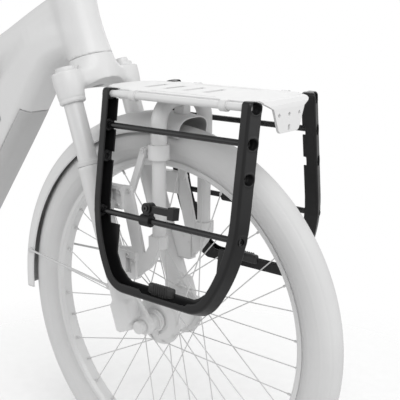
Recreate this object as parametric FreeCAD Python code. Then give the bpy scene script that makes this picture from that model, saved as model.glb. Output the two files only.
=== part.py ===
"""Front end of a full-size electric bicycle with a front carrier and two side frames.

Millimetres.  +Z is up, +X points the way the bicycle rides, +Y is the rider's left.
The origin is the middle of the front axle.  Every piece is one function that returns
one shape; the last block writes each of them to its own STEP file.
"""
import FreeCAD, Part
import math
import os

V = FreeCAD.Vector
Y_AXIS = V(0, 1, 0)

# ---- steering geometry ----
HEAD_ANGLE = 71.0        # head angle from the ground, degrees
AXLE_OFFSET = 34.0       # wheel axle ahead of the steering axis
CROWN_OFFSET = 4.0       # leg axis ahead of the steering axis
LEG_Y = 73.0             # leg axis from the middle plane
TRAVEL = 50.0            # suspension travel

# ---- clearances ----
RUN_FIT = 0.05           # radial gap of a running fit
BODY_GAP = 0.3           # gap between faces of bodies that move apart

# ---- head tube, bearings and steerer, lengths along the steering axis ----
SEAM_S = 488.0           # seam between head tube and lower cover
HEAD_TOP_S = 640.0
HEAD_R = 35.5
HEAD_FLARE_R = 41.0
STEERER_R = 14.6         # where it turns in the upper bearing
STEM_SEAT_R = 14.3       # its free end, one step smaller, where the stem clamps
STEM_SEAT_S = 652.0
STEERER_BASE_R = 19.95
STEERER_TOP_S = 690.0
LOWER_BEARING_R = 26.0
UPPER_BEARING_R = 21.0
BEARING_H = 8.0

# ---- fork ----
STANCHION_R = 17.5
STANCHION_TOP_S = 464.0
STANCHION_END_S = 118.0
LEG_R = 21.0
LEG_TOP_S = 296.0
SEAL_H = 10.0
LOBE_R = 28.0
LOBE_LOW_R = 22.5
LOBE_LOW_S = 408.0
LOBE_TOP_S = 471.0
COVER_LOW_S = 470.0
CROWN_R = 41.5
AXLE_R = 7.45
DROPOUT_IN = 59.0        # inner face of the axle lugs
DROPOUT_OUT = 74.0

# ---- frame tubes: (bottom point, top point, half width, corner radius) in the XZ plane ----
DOWN_TUBE = [
    ((-224, 454), (-232, 500), 34, 14),
    ((-262, 431), (-291, 497), 40, 22),
    ((-301, 393), (-352, 476), 42, 26),
    ((-373, 294), (-460, 364), 42, 26),
    ((-522, 99), (-602, 159), 42, 26),
]
TOP_TUBE = [
    ((-222, 520), (-245, 573), 29, 22),
    ((-306, 481), (-331, 534), 29, 24),
    ((-468, 385), (-501, 455), 29, 24),
]
TUBE_WALL = 5.0
COVER_DEEP = 17.0        # depth of the battery cover from the underside
COVER_SEAM = (-340, 338)  # start of the battery cover on the underside
PORT = (-425, 322)       # charge port on the right side
PORT_R = 11.0

# ---- wheel ----
TYRE_R = 350.0
TYRE_HALF = 31.0
TYRE_WALL = 3.0
RIM_R = 288.0
RIM_IN_R = 275.7
RIM_HALF = 15.0
SPOKES = 36
SPOKE_R = 1.0
SPOKE_HUB_R = 41.0
FLANGE_R = 47.0
FLANGE_RIGHT_Y = -28.0
FLANGE_LEFT_Y = 34.0
DRUM_R = 33.0
HUB_BEARING_R = 14.0

# ---- mudguard ----
GUARD_R = 370.0
GUARD_HALF = 38.5
GUARD_EDGE_R = 338.0
GUARD_T = 2.4
GUARD_FRONT = 81.5       # angle of the front end from +X, degrees
GUARD_REAR = 183.0

# ---- carrier ----
TRAY_TOP = 411.0
TRAY_T = 4.0
TRAY_FRONT = 226.0
TRAY_REAR = -108.0
SLOT_PITCH = 42.0
SLOT_LONG = 52.0
SLOT_WIDE = 12.0
RAIL_R = 6.0
HOOP_R = 13.5
HOOP_X = 28.0
POST_Y = 60.0
HOOP_TOP = 394.0
HOOP_BEND = 40.0
POST_R = 11.75
POST_LOW = 156.0
SLEEVE_R = 18.0
SLEEVE_LOW = 299.0
SLEEVE_MID = 311.0
SLEEVE_TOP = 324.0
PLATE_X = 240.0          # front face of the front plate
PLATE_LOW = 360.0

# ---- side frames ----
FRAME_L = 300.0          # width along the bicycle
FRAME_X0 = -67.5         # rear outer line
FRAME_Y = 93.0           # outer face at the top
FRAME_Z = 412.0
SPLAY = 8.0              # degrees each frame leans outward
SIDE_STRAIGHT = 171.0    # straight length of an upright
BIG_BEND = 258.0
SMALL_BEND = 50.0
BEND_SPLIT = 32.0        # degrees turned by the big bend
FRAME_TOP = 2.0
FRAME_DEEP = 20.6        # depth of the channel from outboard to inboard flange
FLARE = 7.5              # outward flare of the wall over that depth
SKIN = 2.4
OUT_FLANGE = 14.5
IN_FLANGE = 18.0
HOLE_U = 12.0            # hole centres from the outer face
RAIL_HOLE_Z = -7.4
HOLE_PITCH = 52.0        # pitch of the rail, rod and spare holes along the upright
LOWER_ROD_Z = -204.5
HOLE_R = 7.6
BOSS_R = 10.1
SOCKET_DEEP = 7.0        # rail and rod ends sit this far inside the outer line
SOCKET_FLOOR = 5.0
ROD_R = 5.0

HEAD_TILT = math.radians(90.0 - HEAD_ANGLE)
UP = V(-math.sin(HEAD_TILT), 0, math.cos(HEAD_TILT))
FORE = V(math.cos(HEAD_TILT), 0, math.sin(HEAD_TILT))
FOOT = FORE * -AXLE_OFFSET


# ---------------------------------------------------------------- helpers

def fork_point(fore, side, up):
    """Point given ahead of, beside and along the steering axis."""
    return FOOT + FORE * fore + UP * up + V(0, side, 0)


def rod(start, end, radius):
    """Solid round bar between two points."""
    span = end - start
    return Part.makeCylinder(radius, span.Length, start, span)


def tube(start, end, outer, inner):
    """Round tube between two points."""
    return rod(start, end, outer).cut(rod(start, end, inner))


def cone(start, end, radius_start, radius_end):
    """Tapered round bar between two points."""
    span = end - start
    return Part.makeCone(radius_start, radius_end, span.Length, start, span)


def block(x0, x1, y0, y1, z0, z1):
    """Box between two corners."""
    return Part.makeBox(x1 - x0, y1 - y0, z1 - z0, V(x0, y0, z0))


def join(shapes):
    """Union of a list of shapes, with the seams removed."""
    whole = shapes[0]
    for piece in shapes[1:]:
        whole = whole.fuse(piece)
    return whole.removeSplitter()


def mirrored(shape):
    """The same shape on the other side of the middle plane."""
    return shape.mirror(V(0, 0, 0), Y_AXIS)


def slab_xz(points, y0, y1):
    """Straight-edged outline in the XZ plane, given thickness along Y."""
    corners = [V(x, y0, z) for x, z in points]
    wire = Part.makePolygon(corners + [corners[0]])
    return Part.Face(wire).extrude(V(0, y1 - y0, 0))


def slab_xy(points, z0, z1):
    """Straight-edged outline in the XY plane, given thickness along Z."""
    corners = [V(x, y, z0) for x, y in points]
    wire = Part.makePolygon(corners + [corners[0]])
    return Part.Face(wire).extrude(V(0, 0, z1 - z0))


def turned(profile, angle=360.0):
    """Body of revolution about the axle from (radius, y) points, starting at +X."""
    corners = [V(r, y, 0) for r, y in profile]
    wire = Part.makePolygon(corners + [corners[0]])
    return Part.Face(wire).revolve(V(0, 0, 0), Y_AXIS, angle)


def turned_steering(profile):
    """Body of revolution about the steering axis from (radius, height) points."""
    corners = [fork_point(r, 0, s) for r, s in profile]
    wire = Part.makePolygon(corners + [corners[0]])
    return Part.Face(wire).revolve(FOOT, UP, 360.0)


def rounded_section(bottom, top, half, radius):
    """Rounded rectangle across a frame tube, between its bottom and top points."""
    low = V(bottom[0], 0, bottom[1])
    span = V(top[0], 0, top[1]) - low
    high = span.Length
    rise = span.normalize()
    cut = radius * (1 - math.cos(math.pi / 4))

    def at(y, h):
        return low + rise * h + V(0, y, 0)

    edges = []
    edges.append(Part.makeLine(at(-half + radius, 0), at(half - radius, 0)))
    edges.append(Part.Arc(at(half - radius, 0), at(half - cut, cut), at(half, radius)).toShape())
    edges.append(Part.makeLine(at(half, radius), at(half, high - radius)))
    edges.append(Part.Arc(at(half, high - radius), at(half - cut, high - cut),
                          at(half - radius, high)).toShape())
    edges.append(Part.makeLine(at(half - radius, high), at(-half + radius, high)))
    edges.append(Part.Arc(at(-half + radius, high), at(-half + cut, high - cut),
                          at(-half, high - radius)).toShape())
    edges.append(Part.makeLine(at(-half, high - radius), at(-half, radius)))
    edges.append(Part.Arc(at(-half, radius), at(-half + cut, cut), at(-half + radius, 0)).toShape())
    return Part.Wire(edges)


def lofted(stations):
    """Smooth tube through rounded sections."""
    return Part.makeLoft([rounded_section(*station) for station in stations], True, False)


def shrunk(stations, low, high, side):
    """The same stations with their bottom, top and sides moved inward."""
    inner = []
    for bottom, top, half, radius in stations:
        base = V(bottom[0], 0, bottom[1])
        span = V(top[0], 0, top[1]) - base
        rise = V(span).normalize()
        new_low = base + rise * low
        new_high = base + rise * (span.Length - high)
        inner.append(((new_low.x, new_low.z), (new_high.x, new_high.z),
                      half - side, max(radius - side, 4)))
    return inner


# ---------------------------------------------------------------- bicycle frame

def head_outer():
    """Flared outside of the head tube, without its bore."""
    profile = [(0, SEAM_S), (HEAD_FLARE_R, SEAM_S), (HEAD_FLARE_R - 1.4, SEAM_S + 18),
               (HEAD_R + 1.6, SEAM_S + 60), (HEAD_R, SEAM_S + 108), (HEAD_R, HEAD_TOP_S),
               (0, HEAD_TOP_S)]
    return turned_steering(profile)


def head_tube():
    """Head tube with a seat for a bearing at each end."""
    bore = turned_steering([(0, SEAM_S - 1), (LOWER_BEARING_R, SEAM_S - 1),
                            (LOWER_BEARING_R, SEAM_S + BEARING_H), (23, SEAM_S + BEARING_H + 1),
                            (18, HEAD_TOP_S - 60), (18, HEAD_TOP_S - BEARING_H),
                            (UPPER_BEARING_R, HEAD_TOP_S - BEARING_H),
                            (UPPER_BEARING_R, HEAD_TOP_S + 1), (0, HEAD_TOP_S + 1)])
    return head_outer().cut(bore)


def lower_bearing():
    """Lower headset bearing, seated in the head tube."""
    inner = STEERER_BASE_R + RUN_FIT
    return turned_steering([(inner, SEAM_S + BODY_GAP), (LOWER_BEARING_R, SEAM_S + BODY_GAP),
                            (LOWER_BEARING_R, SEAM_S + BEARING_H), (inner, SEAM_S + BEARING_H)])


def upper_bearing():
    """Upper headset bearing, seated in the head tube."""
    inner = STEERER_R + RUN_FIT
    low = HEAD_TOP_S - BEARING_H
    return turned_steering([(inner, low), (UPPER_BEARING_R, low),
                            (UPPER_BEARING_R, HEAD_TOP_S), (inner, HEAD_TOP_S)])


def cover_zone(gap):
    """Slice of the down tube that the battery cover fills, pulled back by gap at its seam."""
    run = V(-149, 0, -195).normalize()
    rise = V(run.z, 0, -run.x)
    start = V(COVER_SEAM[0], 0, COVER_SEAM[1]) + run * gap
    a = start - rise * 20
    b = start + rise * COVER_DEEP
    c = b + run * 400
    d = a + run * 400
    return slab_xz([(p.x, p.z) for p in (a, b, c, d)], -60, 60)


def down_tube():
    """Down tube, hollow, with the recess for the battery cover and the charge port."""
    outer = lofted(DOWN_TUBE)
    hollow = lofted(shrunk(DOWN_TUBE[2:], COVER_DEEP + TUBE_WALL, TUBE_WALL, TUBE_WALL))
    port = rod(V(PORT[0], -60, PORT[1]), V(PORT[0], -40, PORT[1]), PORT_R)
    body = outer.cut(head_outer()).cut(cover_zone(0)).cut(hollow).cut(port)
    return biggest(body)


def biggest(shape):
    """The largest solid of a shape that a cut left in several bits."""
    return sorted(shape.Solids, key=lambda solid: solid.Volume)[-1]


def top_tube():
    """Top tube, cut to the head tube and the down tube it is welded to."""
    hollow = lofted(shrunk(TOP_TUBE[1:], TUBE_WALL, TUBE_WALL, TUBE_WALL))
    body = lofted(TOP_TUBE).cut(head_outer()).cut(lofted(DOWN_TUBE)).cut(hollow)
    return biggest(body)


def battery_cover():
    """Cover along the underside of the down tube."""
    return biggest(lofted(DOWN_TUBE).common(cover_zone(0.8)))


def charge_port_cap():
    """Round cap over the charge port."""
    base = rod(V(PORT[0], -40, PORT[1]), V(PORT[0], -42.4, PORT[1]), PORT_R)
    lip = cone(V(PORT[0], -42.4, PORT[1]), V(PORT[0], -43.6, PORT[1]), PORT_R, PORT_R - 2)
    return join([base, lip])


# ---------------------------------------------------------------- steering

def steerer_tube():
    """Tapered steerer, hollow, pressed into the crown."""
    low = 446.0
    return turned_steering([(11.5, low), (STEERER_BASE_R, low), (STEERER_BASE_R, SEAM_S + 12),
                            (STEERER_R, SEAM_S + 72), (STEERER_R, STEM_SEAT_S),
                            (STEM_SEAT_R, STEM_SEAT_S), (STEM_SEAT_R, STEERER_TOP_S),
                            (11.5, STEERER_TOP_S)])


def lower_headset_cover():
    """Tapered cover between the crown and the head tube."""
    inner = STEERER_BASE_R
    return turned_steering([(inner, COVER_LOW_S), (CROWN_R, COVER_LOW_S),
                            (HEAD_FLARE_R, SEAM_S - BODY_GAP), (inner, SEAM_S - BODY_GAP)])


def upper_headset_cover():
    """Domed cover above the head tube."""
    low = HEAD_TOP_S + BODY_GAP
    return turned_steering([(STEERER_R, low), (HEAD_R, low), (HEAD_R - 1, low + 4),
                            (24, low + 11), (STEERER_R, low + 11)])


def crown_lobe():
    """Right-hand socket of the crown: a collar that widens upward."""
    def at(s):
        return fork_point(CROWN_OFFSET, -LEG_Y, s)
    collar = cone(at(LOBE_LOW_S), at(LOBE_LOW_S + 10), LOBE_LOW_R, LOBE_LOW_R + 1)
    flare = cone(at(LOBE_LOW_S + 10), at(LOBE_LOW_S + 34), LOBE_LOW_R + 2, LOBE_R)
    body = rod(at(LOBE_LOW_S + 34), at(LOBE_TOP_S - 5), LOBE_R)
    top = cone(at(LOBE_TOP_S - 5), at(LOBE_TOP_S), LOBE_R, LOBE_R - 5)
    return join([collar, flare, body, top])


def fork_crown():
    """Crown: boss round the steerer, arched bridge and a socket for each stanchion."""
    boss = turned_steering([(0, 440), (CROWN_R - 3, 440), (CROWN_R, 448), (CROWN_R, COVER_LOW_S),
                            (0, COVER_LOW_S)])
    corners = [(-LEG_Y, 424), (-52, 432), (-30, 442), (30, 442), (52, 432), (LEG_Y, 424),
               (LEG_Y, 464), (44, 466), (-44, 466), (-LEG_Y, 464)]
    wire = Part.makePolygon([fork_point(-18, y, s) for y, s in corners + [corners[0]]])
    bridge = Part.Face(wire).extrude(FORE * 44)
    body = join([boss, bridge, crown_lobe(), mirrored(crown_lobe())])
    body = body.cut(rod(fork_point(0, 0, 446), fork_point(0, 0, 480), STEERER_BASE_R))
    body = body.cut(rod(fork_point(0, 0, 430), fork_point(0, 0, 450), 11.5))
    for side in (-LEG_Y, LEG_Y):
        bore = rod(fork_point(CROWN_OFFSET, side, 400), fork_point(CROWN_OFFSET, side, 480), STANCHION_R)
        body = body.cut(bore)
    return body


def stanchion_right():
    """Hollow sliding tube of the right leg."""
    low = fork_point(CROWN_OFFSET, -LEG_Y, STANCHION_END_S)
    top = fork_point(CROWN_OFFSET, -LEG_Y, STANCHION_TOP_S)
    return tube(low, top, STANCHION_R, STANCHION_R - 2.5)


def stanchion_caps():
    """Top caps of both stanchions; the left one carries the preload knob."""
    caps = []
    for side in (-LEG_Y, LEG_Y):
        low = fork_point(CROWN_OFFSET, side, STANCHION_TOP_S)
        top = fork_point(CROWN_OFFSET, side, LOBE_TOP_S + 1)
        caps.append(rod(low, top, STANCHION_R))
    hexagon = rod(fork_point(CROWN_OFFSET, -LEG_Y, LOBE_TOP_S - 3),
                  fork_point(CROWN_OFFSET, -LEG_Y, LOBE_TOP_S + 2), 6)
    caps[0] = caps[0].cut(hexagon)
    knob = cone(fork_point(CROWN_OFFSET, LEG_Y, LOBE_TOP_S + 1),
                fork_point(CROWN_OFFSET, LEG_Y, LOBE_TOP_S + 10), 13, 11)
    caps[1] = join([caps[1], knob])
    return Part.makeCompound(caps)


# ---------------------------------------------------------------- fork lowers

def lower_leg_right():
    """Right lower leg: bored tube with a foot that carries the axle lug."""
    def at(s):
        return fork_point(CROWN_OFFSET, -LEG_Y, s)
    shaft = rod(at(12), at(LEG_TOP_S), LEG_R)
    foot = cone(at(12), at(-2), LEG_R, LEG_R - 7)
    corners = [fork_point(-8, 0, 62), fork_point(24, 0, 74), fork_point(36, 0, 17),
               fork_point(44, 0, 11), fork_point(48, 0, 0), fork_point(43, 0, -11),
               fork_point(32, 0, -14), fork_point(4, 0, -6)]
    web = slab_xz([(p.x, p.z) for p in corners], -DROPOUT_OUT + 3, -DROPOUT_IN - 2)
    lug = rod(V(0, -DROPOUT_OUT, 0), V(0, -DROPOUT_IN, 0), 15)
    stay_eye = rod(V(-72, -82, 60), V(-72, -72, 60), 6)
    body = join([shaft, foot, web, lug, stay_eye])
    body = body.cut(rod(at(60), at(LEG_TOP_S + 1), STANCHION_R + RUN_FIT))
    return body.cut(rod(V(0, -80, 0), V(0, -50, 0), AXLE_R))


def dust_seals():
    """Wiper seals at the top of both lower legs."""
    seals = []
    for side in (-LEG_Y, LEG_Y):
        low = fork_point(CROWN_OFFSET, side, LEG_TOP_S)
        mid = fork_point(CROWN_OFFSET, side, LEG_TOP_S + SEAL_H - 4)
        top = fork_point(CROWN_OFFSET, side, LEG_TOP_S + SEAL_H)
        ring = join([rod(low, mid, LEG_R + 0.6), cone(mid, top, LEG_R + 0.6, LEG_R - 2)])
        seals.append(ring.cut(rod(low, top, STANCHION_R + RUN_FIT)))
    return Part.makeCompound(seals)


def thru_axle():
    """Axle through both lugs, with its head on the right."""
    shaft = rod(V(0, -DROPOUT_OUT, 0), V(0, DROPOUT_OUT + 9, 0), AXLE_R)
    head = rod(V(0, -DROPOUT_OUT - 11, 0), V(0, -DROPOUT_OUT, 0), 11.5)
    tip = cone(V(0, -DROPOUT_OUT - 11, 0), V(0, -DROPOUT_OUT - 14, 0), 11.5, 8.5)
    socket = rod(V(0, -DROPOUT_OUT - 15, 0), V(0, -DROPOUT_OUT - 8, 0), 3)
    return join([shaft, head, tip]).cut(socket)


def axle_nut():
    """Nut on the left end of the axle."""
    nut = rod(V(0, DROPOUT_OUT, 0), V(0, DROPOUT_OUT + 8, 0), 11)
    return nut.cut(rod(V(0, DROPOUT_OUT - 1, 0), V(0, DROPOUT_OUT + 9, 0), AXLE_R))


def hub_spacers():
    """Stepped spacers between the hub bearings and the lugs."""
    right = turned([(AXLE_R, -37.3), (20, -37.3), (20, -46), (13, -46), (13, -DROPOUT_IN),
                    (AXLE_R, -DROPOUT_IN)])
    plug = block(-8, 8, -45, -39, -28, -14)
    hole = rod(V(0, -60, 0), V(0, -30, 0), AXLE_R)
    left = turned([(AXLE_R, 43.3), (13, 43.3), (13, DROPOUT_IN), (AXLE_R, DROPOUT_IN)])
    return Part.makeCompound([join([right, plug]).cut(hole), left])


# ---------------------------------------------------------------- wheel

def tyre():
    """Smooth balloon tyre with its beads hooked over the rim."""
    middle = TYRE_R - TYRE_HALF
    wheel_outer = Part.makeTorus(middle, TYRE_HALF, V(0, 0, 0), Y_AXIS)
    wheel_inner = Part.makeTorus(middle, TYRE_HALF - TYRE_WALL, V(0, 0, 0), Y_AXIS)
    throat = turned([(RIM_IN_R, -RIM_HALF), (RIM_R + 4, -RIM_HALF + 2.5), (RIM_R + 12, -RIM_HALF + 2.5),
                     (RIM_R + 12, RIM_HALF - 2.5), (RIM_R + 4, RIM_HALF - 2.5), (RIM_IN_R, RIM_HALF)])
    body = wheel_outer.cut(wheel_inner).cut(throat)
    for s in (-1, 1):
        bead = turned([(RIM_IN_R + 6, s * 9), (RIM_IN_R + 6, s * 12.2), (RIM_R + 0.5, s * 12.6),
                       (RIM_R + 5, s * 18), (RIM_R + 9, s * 19.5), (RIM_R + 11, s * 16),
                       (RIM_R + 4, s * 9)])
        body = body.fuse(bead)
    return biggest(body.cut(rim_solid()).removeSplitter())


def rim_solid():
    """Hooked rim section turned about the axle."""
    half = RIM_HALF
    return turned([(RIM_IN_R, -9), (RIM_IN_R + 5, -half), (RIM_R, -half), (RIM_R, -half + 2.4),
                   (RIM_IN_R + 6, -half + 3), (RIM_IN_R + 4.4, -8), (RIM_IN_R + 4.4, 8),
                   (RIM_IN_R + 6, half - 3), (RIM_R, half - 2.4), (RIM_R, half),
                   (RIM_IN_R + 5, half), (RIM_IN_R, 9)])


def spoke_ends(index):
    """Hub point and rim point of one spoke; the flanges alternate and pairs lean opposite ways."""
    pair = index // 2
    side = FLANGE_RIGHT_Y if index % 2 == 0 else FLANGE_LEFT_Y
    lean = 1 if pair % 2 == 0 else -1
    rim_angle = math.radians(360.0 / SPOKES * (index + 0.5))
    hub_angle = rim_angle + lean * math.radians(66)
    hub_y = side + lean * 3.2
    rim_y = math.copysign(3.0, side) + lean * 0.6
    hub = V(SPOKE_HUB_R * math.cos(hub_angle), hub_y, SPOKE_HUB_R * math.sin(hub_angle))
    rim_end = V(RIM_IN_R * math.cos(rim_angle), rim_y, RIM_IN_R * math.sin(rim_angle))
    return hub, rim_end


def spokes():
    """All the spokes."""
    wires = []
    for index in range(SPOKES):
        hub, end = spoke_ends(index)
        wires.append(rod(hub, end, SPOKE_R))
    return Part.makeCompound(wires)


def nipple(index):
    """Spoke nipple through the bed of the rim."""
    hub, end = spoke_ends(index)
    run = (end - hub).normalize()
    return rod(end - run * 8, end + run * 6, 2.1)


def nipples():
    """All the nipples, each bored for its spoke."""
    parts = []
    for index in range(SPOKES):
        hub, end = spoke_ends(index)
        parts.append(nipple(index).cut(rod(hub, end, SPOKE_R)))
    return Part.makeCompound(parts)


def rim():
    """Rim, drilled for the nipples and the valve."""
    holes = [nipple(index) for index in range(SPOKES)]
    holes.append(rod(V(0, 0, -270), V(0, 0, -285), 3.2))
    return rim_solid().cut(Part.makeCompound(holes))


def valve_stem():
    """Tubeless valve through the rim."""
    stem = rod(V(0, 0, -240), V(0, 0, -283), 3.2)
    cap = cone(V(0, 0, -228), V(0, 0, -240), 2.8, 3.8)
    return join([stem, cap])


def hub_shell():
    """Hub: wide drum with a spoke flange at each end."""
    y0 = FLANGE_RIGHT_Y
    y1 = FLANGE_LEFT_Y
    shell = turned([(0, y0 - 8), (26, y0 - 8), (FLANGE_R - 9, y0 - 2), (FLANGE_R, y0 - 2),
                    (FLANGE_R, y0 + 2), (DRUM_R, y0 + 3), (DRUM_R, y1 - 3), (FLANGE_R - 2, y1 - 2),
                    (FLANGE_R - 2, y1 + 2), (24, y1 + 4), (18, y1 + 9), (0, y1 + 9)])
    shell = shell.cut(rod(V(0, -60, 0), V(0, 60, 0), 10))
    shell = shell.cut(rod(V(0, -60, 0), V(0, y0 - 1, 0), HUB_BEARING_R))
    shell = shell.cut(rod(V(0, y1 + 2, 0), V(0, 60, 0), HUB_BEARING_R))
    return shell.cut(Part.makeCompound([rod(*spoke_ends(i), SPOKE_R) for i in range(SPOKES)]))


def hub_bearings():
    """Cartridge bearings at both ends of the hub."""
    rings = []
    for low in (FLANGE_RIGHT_Y - 8, FLANGE_LEFT_Y + 2):
        rings.append(tube(V(0, low, 0), V(0, low + 7, 0), HUB_BEARING_R, AXLE_R + RUN_FIT))
    return Part.makeCompound(rings)


# ---------------------------------------------------------------- mudguard

def guard_profile(grow):
    """Cross-section line of the mudguard, moved outward by grow, as edges in the XY plane."""
    edge = GUARD_EDGE_R
    half = GUARD_HALF + grow
    top = GUARD_R + grow
    points = [V(edge, -half, 0), V(edge + 11, -half, 0), V(edge + 23.5, -half + 8.5, 0),
              V(top - 1.6, -16, 0), V(top, 0, 0)]
    return points


def mudguard():
    """Curved mudguard over the tyre."""
    outer = guard_profile(0)
    inner = guard_profile(-GUARD_T)
    edges = []
    for line in (outer, inner):
        edges.append(Part.makeLine(line[0], line[1]))
        edges.append(Part.Arc(line[1], line[2], line[3]).toShape())
        edges.append(Part.Arc(line[3], line[4], V(line[3].x, -line[3].y, 0)).toShape())
        edges.append(Part.Arc(V(line[3].x, -line[3].y, 0), V(line[2].x, -line[2].y, 0),
                              V(line[1].x, -line[1].y, 0)).toShape())
        edges.append(Part.makeLine(V(line[1].x, -line[1].y, 0), V(line[0].x, -line[0].y, 0)))
    edges.append(Part.makeLine(outer[0], inner[0]))
    edges.append(Part.makeLine(V(outer[0].x, -outer[0].y, 0), V(inner[0].x, -inner[0].y, 0)))
    wire = Part.Wire(Part.__sortEdges__(edges))
    face = Part.Face(wire)
    face.rotate(V(0, 0, 0), Y_AXIS, -GUARD_FRONT)
    return face.revolve(V(0, 0, 0), Y_AXIS, GUARD_FRONT - GUARD_REAR)


def mudguard_mount():
    """Block that bolts the mudguard under the carrier hoop."""
    core = block(HOOP_X - 10, HOOP_X + 10, -9, 9, 350, HOOP_TOP - 4)
    inside = rod(V(0, -20, 0), V(0, 20, 0), GUARD_R)
    return core.cut(inside).cut(hoop_solid())


def stay_right():
    """Wire stay from the fork leg to the side of the mudguard."""
    front = V(-80, -82, 60)
    rear = V(-336, -40.9, 62)
    wire = rod(front, rear, 2.2)
    pad = rod(V(-338, -GUARD_HALF, 62), V(-338, -42.6, 62), 5.5)
    eye = rod(V(-72, -82, 60), V(-72, -85, 60), 6)
    neck = rod(V(-72, -83.2, 60), front, 2.2)
    body = join([wire, pad, eye, neck])
    return biggest(body.cut(mudguard()).cut(lower_leg_right()))


# ---------------------------------------------------------------- carrier

def side_point(x, u, z):
    """Point of the right side frame: x along it, u inboard of its face, z up its slope."""
    lean = math.radians(SPLAY)
    y = -FRAME_Y + u * math.cos(lean) + z * math.sin(lean)
    up = FRAME_Z - u * math.sin(lean) + z * math.cos(lean)
    return V(FRAME_X0 + x, y, up)


def rail_line():
    """Ends of the right-hand rail."""
    start = side_point(SOCKET_DEEP, HOLE_U, RAIL_HOLE_Z)
    end = side_point(FRAME_L - SOCKET_DEEP, HOLE_U, RAIL_HOLE_Z)
    return start, end


def rail_right():
    """Right rail of the carrier with its two clamp collars."""
    start, end = rail_line()
    pieces = [rod(start, end, RAIL_R)]
    for x in (-12, 173):
        pieces.append(rod(V(x, start.y, start.z), V(x + 12, start.y, start.z), 9))
    return join(pieces).cut(rod(start, end, RAIL_R - 1.5))


def platform_tray():
    """Pressed carrier tray with turned-down sides, crosswise slots and long grooves."""
    start, end = rail_line()
    side = -start.y - RAIL_R
    half = [(TRAY_FRONT, 60), (TRAY_FRONT - 14, 66), (TRAY_FRONT - 19, side), (-44, side),
            (-48, 67), (-70, 65), (-92, 54), (TRAY_REAR + 3, 30), (TRAY_REAR, 8)]
    edge = [(x, -y) for x, y in half] + half[::-1]
    plate = slab_xy(edge, TRAY_TOP - TRAY_T, TRAY_TOP)
    lips = [block(-42, TRAY_FRONT - 22, s * side - 1.25 - 1.25 * s, s * side + 1.25 - 1.25 * s,
                  TRAY_TOP - 14, TRAY_TOP - 1) for s in (-1, 1)]
    clamps = []
    for x in (-12, 173):
        for s in (-1, 1):
            clamps.append(block(x, x + 12, min(s * 60, s * (side + 4)), max(s * 60, s * (side + 4)),
                                TRAY_TOP - 10, TRAY_TOP - 1))
    body = join([plate] + lips + clamps)
    for step in range(4):
        x = -30 + SLOT_PITCH * step
        body = body.cut(block(x - SLOT_WIDE / 2, x + SLOT_WIDE / 2, -SLOT_LONG / 2, SLOT_LONG / 2,
                              TRAY_TOP - 9, TRAY_TOP + 1))
    for s in (-1, 1):
        body = body.cut(block(5, 145, s * 60 - 1.5, s * 60 + 1.5, TRAY_TOP - 1.5, TRAY_TOP + 1))
    for line in (rod(start, end, RAIL_R), rod(V(-12, start.y, start.z), V(0, start.y, start.z), 9),
                 rod(V(173, start.y, start.z), V(185, start.y, start.z), 9)):
        body = body.cut(line).cut(mirrored(line))
    return body.cut(hoop_solid())


def front_plate():
    """Bent front plate, drilled for a lamp or a number board."""
    side_view = [(TRAY_FRONT, TRAY_TOP), (PLATE_X - 7, TRAY_TOP - 2), (PLATE_X - 1, TRAY_TOP - 8),
                 (PLATE_X, TRAY_TOP - 14), (PLATE_X, PLATE_LOW), (PLATE_X - 4, PLATE_LOW),
                 (PLATE_X - 4, TRAY_TOP - 13), (PLATE_X - 9, TRAY_TOP - 5), (TRAY_FRONT, TRAY_TOP - 4)]
    body = slab_xz(side_view, -60, 60)
    front_view = [(-60, TRAY_TOP + 1), (60, TRAY_TOP + 1), (60, TRAY_TOP - 5), (42, TRAY_TOP - 14),
                  (36, PLATE_LOW + 22), (28, PLATE_LOW + 3), (24, PLATE_LOW), (-24, PLATE_LOW),
                  (-28, PLATE_LOW + 3), (-36, PLATE_LOW + 22), (-42, TRAY_TOP - 14),
                  (-60, TRAY_TOP - 5)]
    wire = Part.makePolygon([V(200, y, z) for y, z in front_view + [front_view[0]]])
    body = body.common(Part.Face(wire).extrude(V(60, 0, 0)))
    for y in (-27.5, 0, 27.5):
        body = body.cut(rod(V(PLATE_X - 10, y, 387), V(PLATE_X + 2, y, 387), 3))
    return body.cut(block(PLATE_X - 10, PLATE_X + 2, -2.6, 2.6, 363, 371))


def hoop_path():
    """Centre line of the hoop that carries the tray."""
    bend = HOOP_BEND
    low = SLEEVE_MID
    knee = HOOP_TOP - bend
    inner = POST_Y - bend
    k = bend * math.sin(math.pi / 4)
    edges = []
    edges.append(Part.makeLine(V(HOOP_X, -POST_Y, low), V(HOOP_X, -POST_Y, knee)))
    edges.append(Part.Arc(V(HOOP_X, -POST_Y, knee), V(HOOP_X, -inner - k, knee + k),
                          V(HOOP_X, -inner, HOOP_TOP)).toShape())
    edges.append(Part.makeLine(V(HOOP_X, -inner, HOOP_TOP), V(HOOP_X, inner, HOOP_TOP)))
    edges.append(Part.Arc(V(HOOP_X, inner, HOOP_TOP), V(HOOP_X, inner + k, knee + k),
                          V(HOOP_X, POST_Y, knee)).toShape())
    edges.append(Part.makeLine(V(HOOP_X, POST_Y, knee), V(HOOP_X, POST_Y, low)))
    return Part.Wire(edges)


def swept(radius):
    """Round bar of the given radius along the hoop path."""
    ring = Part.Wire(Part.makeCircle(radius, V(HOOP_X, -POST_Y, SLEEVE_MID), V(0, 0, 1)))
    return hoop_path().makePipeShell([ring], True, False)


def hoop_solid():
    """Outside of the hoop, filled."""
    return swept(HOOP_R)


def carrier_hoop():
    """Bent tube hoop under the tray."""
    return hoop_solid().cut(swept(HOOP_R - 2.5))


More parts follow.
